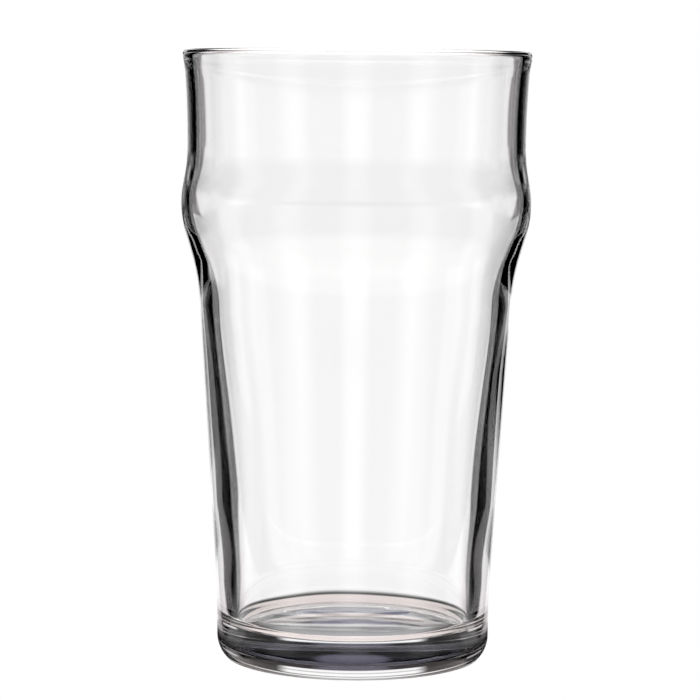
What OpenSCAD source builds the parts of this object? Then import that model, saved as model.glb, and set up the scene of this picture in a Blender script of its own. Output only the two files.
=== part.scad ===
// Pint glass with a bulge below the rim, pressed and blown in one piece of clear glass.
// Millimetres, +Z up. The origin is on the axis, in the plane that the glass stands on.

/* [Overall] */
// Height from the table to the top of the rim
height = 152; // [148:0.5:158]

/* [Rim] */
// Outer radius of the fire-polished rim
rim_r = 43.35; // [43.1:0.05:43.6]
// Radius of the rim's round section
bead_r = 1.6; // [1.4:0.05:1.7]

/* [Neck] */
// Outer radius where the glass is narrowest between rim and bulge
neck_r = 42.05; // [41.75:0.05:42.3]
// Height of that narrowest place
neck_z = 128.6; // [126:0.1:132]
// Radius of the slow outward curve from the neck up to the rim
flare_round = 235; // [200:5:300]

/* [Bulge] */
// Outer radius at the bulge's crown
bulge_r = 43.55; // [43.3:0.05:45]
// Height of the crown
bulge_z = 114.2; // [112:0.1:117]
// Radius of the crown, seen in section
crown_round = 25.6; // [18:0.2:30]
// Slope of the steep wall under the crown, in degrees from the vertical
shoulder_a = 16.2; // [14:0.1:20]
// Radius of the hollow curve where the steep wall meets the body
waist_round = 57; // [20:1:70]

/* [Body] */
// Slope of the body's straight wall, in degrees from the vertical
taper_a = 3.63; // [3.3:0.01:3.9]

/* [Foot] */
// Outer radius just above the heel
foot_r = 34.1; // [33:0.1:35]
// Radius of the rounded heel
heel_round = 7.5; // [6:0.1:10]
// Height at which the heel has turned upright
heel_z = 5.6; // [4:0.1:6]
// Radius of the slow curve from the upright foot into the body's slope
foot_round = 306; // [100:2:400]
// Width of the flat ring that touches the table
ring_w = 4.5; // [2:0.5:8]
// Depth of the hollow under the base, at its middle
punt_depth = 0.8; // [0.6:0.1:3]

/* [Wall] */
// Thickness near the rim
wall_rim = 2.2; // [1.9:0.1:2.5]
// Thickness at the neck
wall_neck = 2.3; // [1.8:0.1:2.8]
// Thickness at the bulge's crown
wall_bulge = 1.9; // [1.5:0.1:2.6]
// Thickness at the waist, under the bulge
wall_waist = 3.0; // [2:0.1:3.2]
// Thickness a quarter of the way up
wall_body = 4.5; // [3:0.1:5]
// Thickness just above the cavity's floor
wall_foot = 4.9; // [4:0.1:5.5]
// Height of the cavity's floor above the table
floor_z = 9; // [6:0.5:12]
// Radius of the fillet round the cavity's floor
floor_round = 3; // [3:0.5:8]

/* [Hidden] */

// Heights at which wall_body and wall_foot are measured
body_z = 40;
foot_z = 20;
// Height between two points of the profile, up a curved and up a straight stretch
curve_step = 1.5;
straight_step = 10;
// Angle between two points round the heel and the floor's fillet, and sides of a full turn
arc_step = 7.5;
turn_sides = 180;

bead_z = height - bead_r;
heel_r = foot_r - heel_round;
ring_r = heel_r + sqrt(heel_round ^ 2 - heel_z ^ 2);
punt_r = ring_r - ring_w;

// Straight body wall: it starts where the foot's curve has turned to the body's slope
taper_z = heel_z + foot_round * sin(taper_a);
taper_r = foot_r + foot_round * (1 - cos(taper_a));
function taper_line(z) = taper_r + (z - taper_z) * tan(taper_a);

// Crown, then the steep straight wall tangent to it
crown_r = bulge_r - crown_round;
crown_low_z = bulge_z - crown_round * sin(shoulder_a);
crown_low_r = crown_r + crown_round * cos(shoulder_a);
function shoulder_line(z) = crown_low_r + (z - crown_low_z) * tan(shoulder_a);

// Centre of the waist's curve, one waist_round outside both straight walls
waist_gap = waist_round / cos(taper_a) - waist_round / cos(shoulder_a);
waist_z = (taper_line(0) - shoulder_line(0) + waist_gap) / (tan(shoulder_a) - tan(taper_a));
waist_r = taper_line(waist_z) + waist_round / cos(taper_a);
waist_low_z = waist_z + waist_round * sin(taper_a);
waist_high_z = waist_z + waist_round * sin(shoulder_a);

// The neck's curve is tangent to the crown's, with no straight wall between them
neck_rise = neck_z - bulge_z;
neck_in = bulge_r - neck_r;
s_round = (neck_rise ^ 2 + neck_in ^ 2) / (2 * neck_in);
neck_round = s_round - crown_round;
crown_high_z = bulge_z + crown_round * neck_rise / s_round;

// Radius of a round stretch with its centre at (r, z), curving outward or inward
function bulging(r, z, round, at) = r + sqrt(round ^ 2 - (at - z) ^ 2);
function hollow(r, z, round, at) = r - sqrt(round ^ 2 - (at - z) ^ 2);

// Outer radius of the glass at a height above the heel
function outer_r(z) =
    z < taper_z ? hollow(foot_r + foot_round, heel_z, foot_round, z) :
    z < waist_low_z ? taper_line(z) :
    z < waist_high_z ? hollow(waist_r, waist_z, waist_round, z) :
    z < crown_low_z ? shoulder_line(z) :
    z < crown_high_z ? bulging(crown_r, bulge_z, crown_round, z) :
    z < neck_z ? hollow(neck_r + neck_round, neck_z, neck_round, z) :
    hollow(neck_r + flare_round, neck_z, flare_round, z);

// Thickness of the wall, which changes slowly at both ends of each stretch
function eased(z, z0, t0, z1, t1) = t0 + (t1 - t0) * (1 - cos(180 * (z - z0) / (z1 - z0))) / 2;
function wall(z) =
    z < foot_z ? wall_foot :
    z < body_z ? eased(z, foot_z, wall_foot, body_z, wall_body) :
    z < waist_low_z ? eased(z, body_z, wall_body, waist_low_z, wall_waist) :
    z < bulge_z ? eased(z, waist_low_z, wall_waist, bulge_z, wall_bulge) :
    z < neck_z ? eased(z, bulge_z, wall_bulge, neck_z, wall_neck) :
    eased(z, neck_z, wall_neck, bead_z, wall_rim);
function inner_r(z) = outer_r(z) - wall(z);

// Points of a round stretch, and heights spread evenly over a stretch without its last one
function arc(r, z, round, a0, a1) =
    let (n = ceil(abs(a1 - a0) / arc_step))
    [for (i = [0:n]) let (a = a0 + (a1 - a0) * i / n) [r + round * cos(a), z + round * sin(a)]];
function spread(z0, z1, step) =
    let (n = ceil((z1 - z0) / step))
    [for (i = [0:n - 1]) z0 + (z1 - z0) * i / n];

outer_heights = concat(
    spread(heel_z, taper_z, straight_step / 2),
    [taper_z],
    spread(waist_low_z, bead_z, curve_step),
    [bead_z]
);
cavity_heights = concat(
    spread(floor_z + floor_round, body_z, straight_step / 2),
    spread(body_z, waist_low_z, straight_step / 3),
    spread(waist_low_z, bead_z, curve_step),
    [bead_z]
);

// Half section of the wall, the heel and the floor, without the rim's round edge
module wall_section() {
    fillet_z = floor_z + floor_round;
    heel = arc(heel_r, heel_z, heel_round, -asin(heel_z / heel_round), 0);
    outside = [for (z = outer_heights) if (z > heel_z) [outer_r(z), z]];
    inside = [for (z = cavity_heights) if (z > fillet_z) [inner_r(z), z]];
    fillet = arc(inner_r(fillet_z) - floor_round, fillet_z, floor_round, -90, 0);
    polygon(concat(
        [[0, 0]],
        heel,
        outside,
        [for (i = [len(inside) - 1:-1:0]) inside[i]],
        [for (i = [len(fillet) - 1:-1:0]) fillet[i]],
        [[0, floor_z]]
    ));
}

// Half section of the hollow under the base, a flat dome that starts at the table ring
module punt_section() {
    dome_round = (punt_r ^ 2 + punt_depth ^ 2) / (2 * punt_depth);
    intersection() {
        translate([0, punt_depth - dome_round]) circle(r = dome_round, $fn = turn_sides);
        square([punt_r + 1, punt_depth + 1]);
    }
}

module glass_body() {
    color([0.86, 0.9, 0.91, 0.35])
    rotate_extrude($fn = turn_sides) {
        difference() {
            wall_section();
            punt_section();
        }
        translate([rim_r - bead_r, bead_z]) circle(r = bead_r, $fn = turn_sides);
    }
}

glass_body();
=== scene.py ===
import math

import bpy
import numpy as np
from mathutils import Euler, Matrix, Vector, noise


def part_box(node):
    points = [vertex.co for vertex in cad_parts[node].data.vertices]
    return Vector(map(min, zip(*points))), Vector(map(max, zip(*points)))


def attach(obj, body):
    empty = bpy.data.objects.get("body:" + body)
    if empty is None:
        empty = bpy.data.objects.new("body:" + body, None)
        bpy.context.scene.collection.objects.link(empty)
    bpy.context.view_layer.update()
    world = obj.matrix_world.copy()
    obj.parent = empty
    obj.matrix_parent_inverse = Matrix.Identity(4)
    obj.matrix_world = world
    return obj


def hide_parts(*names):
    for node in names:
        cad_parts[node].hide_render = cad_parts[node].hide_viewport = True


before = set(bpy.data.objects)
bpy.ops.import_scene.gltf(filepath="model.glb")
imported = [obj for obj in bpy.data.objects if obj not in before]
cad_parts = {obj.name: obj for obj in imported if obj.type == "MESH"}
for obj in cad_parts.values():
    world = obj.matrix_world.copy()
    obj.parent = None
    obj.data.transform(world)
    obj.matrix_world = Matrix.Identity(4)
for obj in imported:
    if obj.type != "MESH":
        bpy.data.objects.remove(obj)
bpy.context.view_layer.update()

MM = 0.001

# Outside of the glass, in millimetres: the CAD part's own dimensions. RIM_HALF_W, RIM_TOP_H and
# RIM_BLEND shape a slimmer rim that blends into the wall, and RING_EDGE rounds the ring's edge.
NODE = "glass_body"
low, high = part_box(NODE)
HEIGHT = high.z / MM
RIM_R = 43.35
RIM_HALF_W = 1.2
RIM_TOP_H = 1.2
RIM_BLEND = 2.0
NECK_R, NECK_Z = 42.05, 128.6
FLARE_ROUND = 235
BULGE_R, BULGE_Z = 43.55, 114.2
CROWN_ROUND = 25.6
SHOULDER = math.radians(16.2)
WAIST_ROUND = 57
TAPER = math.radians(3.63)
FOOT_R, FOOT_ROUND = 34.1, 306
HEEL_ROUND, HEEL_Z = 7.5, 5.6
RING_EDGE = 1.2
RING_W = 4.5
PUNT_DEPTH = 0.8

# Wall thickness at a few heights, and the cavity's floor
WALLS = [(20, 4.9), (40, 4.5), (89.3, 3.0), (BULGE_Z, 1.9), (NECK_Z, 2.3), (150, 2.2)]
FLOOR_Z, FLOOR_ROUND = 9.0, 3.0

# Unevenness in millimetres: outside, inside, and the ripples of the cavity's floor
UNEVEN_OUT, UNEVEN_IN, RIPPLE = 0.03, 0.1, 0.05
WAVES_ROUND, WAVE_H = 1.6, 24
RIPPLE_X, RIPPLE_Y, RIPPLE_CALM_R = 9, 5, 6
# It fades in above the heel and out below the rim, and the part above the waist is calmer
FADE_LOW, FADE_TOP, TOP_GAP = 20, 10, 5
CALM_FROM, CALM_OVER, CALM = 75, 30, 0.6
# Places in the noise for the floor's ripples and for the inside
NOISE_FLOOR, NOISE_INSIDE = 3, 7

# Soda-lime glass. Each skin: roughness, then the depth and length in millimetres of its faint waves
IOR = 1.52
CLEAR_SKIN = (0, 0.002, 12)
SCUFFED_SKIN = (0.3, 0.02, 0.8)
# Wear on the ring that the glass stands on: below this height and outside this radius
SCUFF_Z, SCUFF_R = 0.5, 26

# Number of steps round the glass, and along each stretch of its section
TURN = 240
PUNT_STEPS, RING_STEPS, EDGE_STEPS, HEEL_STEPS = 24, 8, 8, 18
WALL_POINTS, RIM_STEPS, CAVITY_POINTS, FILLET_STEPS, FLOOR_STEPS = 150, 24, 140, 16, 20


def taper_line(z):
    """Outer radius of the body's straight wall."""
    start_z = HEEL_Z + FOOT_ROUND * math.sin(TAPER)
    start_r = FOOT_R + FOOT_ROUND * (1 - math.cos(TAPER))
    return start_r + (z - start_z) * math.tan(TAPER)


def shoulder_line(z):
    """Outer radius of the steep straight wall under the bulge."""
    end_r = BULGE_R - CROWN_ROUND * (1 - math.cos(SHOULDER))
    end_z = BULGE_Z - CROWN_ROUND * math.sin(SHOULDER)
    return end_r + (z - end_z) * math.tan(SHOULDER)


def wall_radius(z):
    """Outer radius above the heel, without the rim's bead."""
    gap = WAIST_ROUND / math.cos(TAPER) - WAIST_ROUND / math.cos(SHOULDER)
    slopes = math.tan(SHOULDER) - math.tan(TAPER)
    waist_z = (taper_line(0) - shoulder_line(0) + gap) / slopes
    waist_r = taper_line(waist_z) + WAIST_ROUND / math.cos(TAPER)
    rise, inward = NECK_Z - BULGE_Z, BULGE_R - NECK_R
    both_rounds = (rise**2 + inward**2) / (2 * inward)
    neck_round = both_rounds - CROWN_ROUND
    if z < HEEL_Z + FOOT_ROUND * math.sin(TAPER):
        return FOOT_R + FOOT_ROUND - math.sqrt(FOOT_ROUND**2 - (z - HEEL_Z) ** 2)
    if z < waist_z + WAIST_ROUND * math.sin(TAPER):
        return taper_line(z)
    if z < waist_z + WAIST_ROUND * math.sin(SHOULDER):
        return waist_r - math.sqrt(WAIST_ROUND**2 - (z - waist_z) ** 2)
    if z < BULGE_Z - CROWN_ROUND * math.sin(SHOULDER):
        return shoulder_line(z)
    if z < BULGE_Z + CROWN_ROUND * rise / both_rounds:
        return BULGE_R - CROWN_ROUND + math.sqrt(CROWN_ROUND**2 - (z - BULGE_Z) ** 2)
    if z < NECK_Z:
        return NECK_R + neck_round - math.sqrt(neck_round**2 - (NECK_Z - z) ** 2)
    return NECK_R + FLARE_ROUND - math.sqrt(FLARE_ROUND**2 - (z - NECK_Z) ** 2)


def wall_thickness(z):
    """Thickness that eases from each of WALLS's heights to the next."""
    if z <= WALLS[0][0]:
        return WALLS[0][1]
    for (z0, t0), (z1, t1) in zip(WALLS, WALLS[1:]):
        if z < z1:
            return t0 + (t1 - t0) * (1 - math.cos(math.pi * (z - z0) / (z1 - z0))) / 2
    return WALLS[-1][1]


def arc(r, z, round_r, start, end, steps):
    """Points round a circle's part in the section, from one angle in degrees to the next."""
    turns = [math.radians(start + (end - start) * i / steps) for i in range(steps + 1)]
    return [(r + round_r * math.cos(a), z + round_r * math.sin(a)) for a in turns]


def glass_section():
    """Half section of the glass from the axis under the base, round the outside and rim, to the
    axis on the cavity's floor. The second value is the number of points on the outside."""
    heel_r = FOOT_R - HEEL_ROUND
    edge_r = heel_r + math.sqrt((HEEL_ROUND - RING_EDGE) ** 2 - (HEEL_Z - RING_EDGE) ** 2)
    edge_turn = -math.degrees(math.asin((HEEL_Z - RING_EDGE) / (HEEL_ROUND - RING_EDGE)))
    punt_r = edge_r - RING_W
    points = []
    for i in range(PUNT_STEPS):
        share = i / PUNT_STEPS
        points.append((punt_r * share, PUNT_DEPTH * (1 + math.cos(math.pi * share)) / 2))
    points += [(punt_r + (edge_r - punt_r) * i / RING_STEPS, 0) for i in range(RING_STEPS)]
    points += arc(edge_r, RING_EDGE, RING_EDGE, -90, edge_turn, EDGE_STEPS)[:-1]
    points += arc(heel_r, HEEL_Z, HEEL_ROUND, edge_turn, 0, HEEL_STEPS)
    bead_z = HEIGHT - RIM_TOP_H
    for z in np.linspace(HEEL_Z, bead_z, WALL_POINTS)[1:]:
        bead = (RIM_R - wall_radius(bead_z)) * math.exp(-(((z - bead_z) / RIM_BLEND) ** 2))
        points.append((wall_radius(z) + bead, z))
    outside = len(points)
    middle = RIM_R - RIM_HALF_W
    for i in range(1, RIM_STEPS + 1):
        a = math.pi * i / RIM_STEPS
        points.append((middle + RIM_HALF_W * math.cos(a), bead_z + RIM_TOP_H * math.sin(a)))
    inner_rim = RIM_R - 2 * RIM_HALF_W
    fillet_z = FLOOR_Z + FLOOR_ROUND
    at_rim = wall_radius(bead_z) - wall_thickness(bead_z)
    for z in np.linspace(bead_z, fillet_z, CAVITY_POINTS)[1:]:
        plain = wall_radius(z) - wall_thickness(z)
        bead = (inner_rim - at_rim) * math.exp(-(((z - bead_z) / RIM_BLEND) ** 2))
        points.append((plain + bead, z))
    fillet_r = wall_radius(fillet_z) - wall_thickness(fillet_z) - FLOOR_ROUND
    points += arc(fillet_r, fillet_z, FLOOR_ROUND, 0, -90, FILLET_STEPS)[1:]
    points += [(fillet_r * (1 - i / FLOOR_STEPS), FLOOR_Z) for i in range(1, FLOOR_STEPS)]
    points.append((0, FLOOR_Z))
    return points, outside


def fade(share):
    """The share, kept between 0 and 1."""
    return min(max(share, 0), 1)


def uneven(r, z, turn, is_outside):
    """Radius and height of a point after the slight waves that blown and pressed glass has. The
    outside only moves inwards, so the glass stays in the CAD part's box."""
    size = fade((z - HEEL_Z) / FADE_LOW) * fade((HEIGHT - TOP_GAP - z) / FADE_TOP)
    size *= 1 - CALM * fade((z - CALM_FROM) / CALM_OVER)
    spot = Vector((math.cos(turn) * WAVES_ROUND, math.sin(turn) * WAVES_ROUND, z / WAVE_H))
    if is_outside:
        return r - UNEVEN_OUT * size * (0.5 + 0.5 * noise.noise(spot)), z
    if z < FLOOR_Z + 0.01:
        x, y = r * math.cos(turn), r * math.sin(turn)
        swirl = Vector((x / RIPPLE_X, y / RIPPLE_Y, NOISE_FLOOR))
        return r, z + RIPPLE * noise.noise(swirl) * fade(r / RIPPLE_CALM_R)
    return r + UNEVEN_IN * size * noise.noise(spot + Vector((0, 0, NOISE_INSIDE))), z


def lathe(points, outside, name):
    """Turns a half section, whose ends are on the axis, into a closed mesh."""
    rings = points[1:-1]
    turns = np.arange(TURN) * 2 * math.pi / TURN
    verts = [(0, 0, points[0][1] * MM)]
    for k, (plain_r, plain_z) in enumerate(rings):
        for a in turns:
            r, z = uneven(plain_r, plain_z, a, k + 1 < outside)
            verts.append((r * math.cos(a) * MM, r * math.sin(a) * MM, z * MM))
    verts.append((0, 0, points[-1][1] * MM))
    faces = []
    for i in range(TURN):
        j = (i + 1) % TURN
        faces.append((0, 1 + j, 1 + i))
        for k in range(len(rings) - 1):
            a, b = 1 + k * TURN, 1 + (k + 1) * TURN
            faces.append((a + i, a + j, b + j, b + i))
        top = 1 + (len(rings) - 1) * TURN
        faces.append((top + i, top + j, len(verts) - 1))
    mesh = bpy.data.meshes.new(name)
    mesh.from_pydata(verts, [], faces)
    mesh.polygons.foreach_set("use_smooth", [True] * len(faces))
    mesh.update()
    piece = bpy.data.objects.new(name, mesh)
    bpy.context.scene.collection.objects.link(piece)
    return piece


def glass_material(name, roughness, wave_depth, wave_length):
    """Clear glass whose skin has faint waves of this depth and length in millimetres."""
    material = bpy.data.materials.new(name)
    material.use_nodes = True
    nodes = material.node_tree.nodes
    links = material.node_tree.links
    shader = nodes["Principled BSDF"]
    shader.inputs["Base Color"].default_value = (1, 1, 1, 1)
    shader.inputs["Transmission Weight"].default_value = 1
    shader.inputs["Roughness"].default_value = roughness
    shader.inputs["IOR"].default_value = IOR
    place = nodes.new("ShaderNodeTexCoord")
    waves = nodes.new("ShaderNodeTexNoise")
    waves.inputs["Scale"].default_value = 1 / (wave_length * MM)
    waves.inputs["Detail"].default_value = 1
    bump = nodes.new("ShaderNodeBump")
    bump.inputs["Strength"].default_value = 1
    bump.inputs["Distance"].default_value = wave_depth * MM
    links.new(place.outputs["Object"], waves.inputs["Vector"])
    links.new(waves.outputs["Fac"], bump.inputs["Height"])
    links.new(bump.outputs["Normal"], shader.inputs["Normal"])
    return material


points, outside = glass_section()
glass = lathe(points, outside, "pint_glass")
glass.data.materials.append(glass_material("clear_glass", *CLEAR_SKIN))
glass.data.materials.append(glass_material("scuffed_glass", *SCUFFED_SKIN))
for face in glass.data.polygons:
    middle = face.center / MM
    if middle.z < SCUFF_Z and middle.xy.length > SCUFF_R:
        face.material_index = 1
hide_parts(NODE)
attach(glass, "root")

# Camera: a little above the rim, looking slightly down at the middle of the glass
CAMERA_DISTANCE = 0.777
CAMERA_HEIGHT = 0.1597
PITCH = math.radians(6.05)
YAW = math.radians(0.092)
ROLL = math.radians(0.5)
LENS, SENSOR = 160.663, 36

camera_data = bpy.data.cameras.new("camera")
camera_data.sensor_width = SENSOR
camera_data.lens = LENS
camera_data.clip_end = 100
camera = bpy.data.objects.new("camera", camera_data)
bpy.context.scene.collection.objects.link(camera)
aim = Euler((math.pi / 2 - PITCH, 0, YAW)).to_matrix() @ Matrix.Rotation(ROLL, 3, "Z")
camera.matrix_world = Matrix.Translation((0, -CAMERA_DISTANCE, CAMERA_HEIGHT)) @ aim.to_4x4()
bpy.context.scene.camera = camera

# The light. Angles are in degrees, and azimuth 0 is straight behind the glass. White panels stand
# all round the table, and the dark gaps between them draw the glass's edges.
# Each panel: azimuth of the middle, half width, soft edge, brightness. The far ones' light is
# painted on the table only from FAR_FROM on, in metres.
PANELS = [
    (0, 13.2, 0.8, 1.0),
    (90, 11, 5, 1.0),
    (-90, 11, 5, 1.0),
    (135, 12, 10, 1.0),
    (-135, 12, 10, 1.0),
    (180, 12, 10, 1.0),
]
FAR_PANELS = [(56, 9, 1.5, 0.85), (-56, 9, 1.5, 0.85)]
FAR_FROM = (0.7, 0.9)
PANEL_TOP, PANEL_TOP_BLUR = 5, 2
PANEL_FOOT = (-3.2, -2.8)
# Weak light in the gaps on the camera's side
GAP_LIGHT, GAP_FROM, GAP_BLUR = 0.5, 78, 4

# A strip above the rear panel: lowest and highest elevation, soft edge, brightness, and its width
STRIP = (5, 11, 1.5, 1.0)
STRIP_HALF, STRIP_BLUR = 22, 3

# Light that comes up through the table at steep angles, all round and at one side's less steep
TABLE_FROM, TABLE_BLUR, TABLE_LIGHT = -31, 3, 0.85
SIDE_FROM, SIDE_BLUR = -20, 2.5
SIDE_MIDDLE, SIDE_WIDTH = -45, (16, 10)

# Dim sky above the strip, and light from overhead
SKY_FROM, SKY_WIDTH, SKY_LIGHT = (11, 13), (14, 8), 0.14
OVERHEAD_FROM, OVERHEAD_BLUR, OVERHEAD_LIGHT = 52, 6, 0.3

# Weak tints of the table, the panels at the sides and the sky
TABLE_TINT = (1, 0.9, 0.87)
SIDE_TINT = (1, 0.94, 0.97)
SKY_TINT = (0.75, 0.72, 1)
SIDE_TINT_FROM, SIDE_TINT_TO = (30, 42), (84, 72)
WHITE = (1, 1, 1)

# The table, in metres. A painted white patch of light lies behind the glass: half width at the
# glass, what it gains with distance, soft edge, and where it starts and ends.
PAINTED_PATCH = (0.05, 0.29, 0.004)
PAINTED_PATCH_START, PAINTED_PATCH_END = (0, 0.02), (1.0, 0.85)
# Distance where the panels' light painted on the table starts, with painted shadow nearer the
# glass, and the painted pool of light under the glass
PAINTED_SHADOW_EDGE = (0.048, 0.065)
PAINTED_POOL, PAINTED_POOL_LIGHT = (0.018, 0.026), 0.5
# Light comes up through the table only this near to the glass
SEE_THROUGH = (0.6, 0.62)
FLOOR_HALF = 4.0


class Nodes:
    """Short calls that add nodes to one node tree and give their output sockets."""

    def __init__(self, tree):
        self.tree = tree

    def add(self, kind, **settings):
        node = self.tree.nodes.new(kind)
        for name, value in settings.items():
            setattr(node, name, value)
        return node

    def join(self, value, socket):
        if isinstance(value, (int, float)):
            socket.default_value = value
        else:
            self.tree.links.new(value, socket)

    def math(self, operation, *values):
        node = self.add("ShaderNodeMath", operation=operation)
        for value, socket in zip(values, node.inputs):
            self.join(value, socket)
        return node.outputs[0]

    def ramp(self, value, start, end, low=0.0, high=1.0):
        """Smooth step from low to high as the value goes from start to end."""
        node = self.add("ShaderNodeMapRange", interpolation_type="SMOOTHSTEP", clamp=True)
        names = ("Value", "From Min", "From Max", "To Min", "To Max")
        for name, item in zip(names, (value, start, end, low, high)):
            self.join(item, node.inputs[name])
        return node.outputs["Result"]

    def panels(self, azimuth, rows):
        """Brightness of the panels at an azimuth, with a weak light in the camera side's gaps."""
        aside = self.math("ABSOLUTE", azimuth)
        light = self.ramp(aside, GAP_FROM - GAP_BLUR, GAP_FROM + GAP_BLUR, 0, GAP_LIGHT)
        for middle, half_width, blur, brightness in rows:
            away = self.math("WRAP", self.math("SUBTRACT", azimuth, middle), 180, -180)
            inside = self.math("SUBTRACT", half_width, self.math("ABSOLUTE", away))
            light = self.math("MAXIMUM", light, self.ramp(inside, -blur, blur, 0, brightness))
        return light

    def tint(self, base, factor, colour):
        """A colour that goes from the base to another one as the factor rises."""
        node = self.add("ShaderNodeMix", data_type="RGBA")
        self.join(factor, node.inputs["Factor"])
        if isinstance(base, tuple):
            node.inputs["A"].default_value = (*base, 1)
        else:
            self.tree.links.new(base, node.inputs["A"])
        node.inputs["B"].default_value = (*colour, 1)
        return node.outputs["Result"]

    def side_tint(self, azimuth):
        """White, with the side panels' tint between two azimuths."""
        aside = self.math("ABSOLUTE", azimuth)
        factor = self.multiply(self.ramp(aside, *SIDE_TINT_FROM), self.ramp(aside, *SIDE_TINT_TO))
        return self.tint(WHITE, factor, SIDE_TINT)

    def multiply(self, *values):
        product = values[0]
        for value in values[1:]:
            product = self.math("MULTIPLY", product, value)
        return product

    def brightest(self, *values):
        light = values[0]
        for value in values[1:]:
            light = self.math("MAXIMUM", light, value)
        return light


def studio_light():
    """World light by direction. Camera rays see plain white."""
    world = bpy.data.worlds.new("studio")
    world.use_nodes = True
    nodes = Nodes(world.node_tree)
    parts = nodes.add("ShaderNodeSeparateXYZ")
    nodes.join(nodes.add("ShaderNodeTexCoord").outputs["Generated"], parts.inputs[0])
    x, y, z = parts.outputs
    azimuth = nodes.math("DEGREES", nodes.math("ARCTAN2", x, y))
    elevation = nodes.math("DEGREES", nodes.math("ARCSINE", z))
    aside = nodes.math("ABSOLUTE", azimuth)
    panels = nodes.multiply(
        nodes.panels(azimuth, PANELS + FAR_PANELS),
        nodes.ramp(elevation, PANEL_TOP + PANEL_TOP_BLUR, PANEL_TOP - PANEL_TOP_BLUR),
        nodes.ramp(elevation, *PANEL_FOOT))
    low_end, high_end, blur, brightness = STRIP
    strip = nodes.multiply(
        nodes.ramp(elevation, low_end - blur, low_end + blur, 0, brightness),
        nodes.ramp(elevation, high_end + blur, high_end - blur),
        nodes.ramp(aside, STRIP_HALF + STRIP_BLUR, STRIP_HALF - STRIP_BLUR))
    table_start = TABLE_FROM + TABLE_BLUR
    table = nodes.ramp(elevation, table_start, TABLE_FROM - TABLE_BLUR, 0, TABLE_LIGHT)
    off_side = nodes.math("ABSOLUTE", nodes.math("SUBTRACT", azimuth, SIDE_MIDDLE))
    side = nodes.multiply(
        nodes.ramp(elevation, SIDE_FROM + SIDE_BLUR, SIDE_FROM - SIDE_BLUR),
        nodes.ramp(off_side, *SIDE_WIDTH))
    above = nodes.ramp(elevation, *SKY_FROM)
    sky = nodes.multiply(nodes.ramp(elevation, *SKY_FROM, 0, SKY_LIGHT),
                         nodes.ramp(aside, *SKY_WIDTH))
    overhead = nodes.ramp(elevation, OVERHEAD_FROM - OVERHEAD_BLUR, OVERHEAD_FROM + OVERHEAD_BLUR,
                          0, OVERHEAD_LIGHT)
    seen = nodes.add("ShaderNodeLightPath").outputs["Is Camera Ray"]
    light = nodes.brightest(panels, strip, table, side, sky, overhead, seen)
    below = nodes.ramp(elevation, table_start, TABLE_FROM)
    colour = nodes.tint(nodes.side_tint(azimuth), below, TABLE_TINT)
    colour = nodes.tint(colour, above, SKY_TINT)
    background = world.node_tree.nodes["Background"]
    nodes.join(colour, background.inputs["Color"])
    nodes.join(light, background.inputs["Strength"])
    bpy.context.scene.world = world


def pale_floor():
    """A floor that is plain white to camera rays. To all other rays it glows with painted light: a
    painted white patch behind the glass, the panels' light painted on it, painted shadow round the
    glass and a painted pool of light under it. Near the glass it lets the light from below through."""
    material = bpy.data.materials.new("pale_floor")
    material.use_nodes = True
    nodes = Nodes(material.node_tree)
    material.node_tree.nodes.clear()
    parts = nodes.add("ShaderNodeSeparateXYZ")
    nodes.join(nodes.add("ShaderNodeNewGeometry").outputs["Position"], parts.inputs[0])
    x, y, z = parts.outputs
    azimuth = nodes.math("DEGREES", nodes.math("ARCTAN2", x, y))
    # A painted white patch of light on the table behind the glass
    half_width, gain, blur = PAINTED_PATCH
    edge = nodes.math("ADD", nodes.math("MULTIPLY", y, gain), half_width)
    inside = nodes.math("SUBTRACT", edge, nodes.math("ABSOLUTE", x))
    painted_patch = nodes.multiply(nodes.ramp(inside, -blur, blur), nodes.ramp(y, *PAINTED_PATCH_START),
                           nodes.ramp(y, *PAINTED_PATCH_END))
    distance = nodes.math("SQRT", nodes.math("ADD", nodes.multiply(x, x), nodes.multiply(y, y)))
    # The panels' light, painted on the table
    near = nodes.panels(azimuth, PANELS)
    far = nodes.multiply(nodes.panels(azimuth, FAR_PANELS), nodes.ramp(distance, *FAR_FROM))
    # Painted shadow round the glass, and a painted pool of light under it
    light = nodes.multiply(nodes.brightest(painted_patch, near, far), nodes.ramp(distance, *PAINTED_SHADOW_EDGE))
    light = nodes.brightest(light, nodes.ramp(distance, *PAINTED_POOL, PAINTED_POOL_LIGHT, 0))
    seen = nodes.add("ShaderNodeLightPath").outputs["Is Camera Ray"]
    white = nodes.add("ShaderNodeEmission")
    nodes.join(nodes.tint(nodes.side_tint(azimuth), seen, WHITE), white.inputs["Color"])
    nodes.join(nodes.math("MAXIMUM", light, seen), white.inputs["Strength"])
    clear = nodes.add("ShaderNodeBsdfTransparent")
    nodes.join(nodes.ramp(distance, *SEE_THROUGH, 1, 0), clear.inputs["Color"])
    both = nodes.add("ShaderNodeAddShader")
    nodes.join(white.outputs[0], both.inputs[0])
    nodes.join(clear.outputs[0], both.inputs[1])
    mix = nodes.add("ShaderNodeMixShader")
    nodes.join(seen, mix.inputs[0])
    nodes.join(both.outputs[0], mix.inputs[1])
    nodes.join(white.outputs[0], mix.inputs[2])
    nodes.join(mix.outputs[0], nodes.add("ShaderNodeOutputMaterial").inputs["Surface"])
    mesh = bpy.data.meshes.new("floor")
    half = FLOOR_HALF
    corners = [(-half, -half, 0), (half, -half, 0), (half, half, 0), (-half, half, 0)]
    mesh.from_pydata(corners, [], [(0, 1, 2, 3)])
    mesh.materials.append(material)
    floor = bpy.data.objects.new("floor", mesh)
    bpy.context.scene.collection.objects.link(floor)


pale_floor()
studio_light()

# Clear glass needs many bounces
scene = bpy.context.scene
scene.view_settings.view_transform = "Standard"
scene.cycles.max_bounces = 24
scene.cycles.transmission_bounces = 24
scene.cycles.glossy_bounces = 12
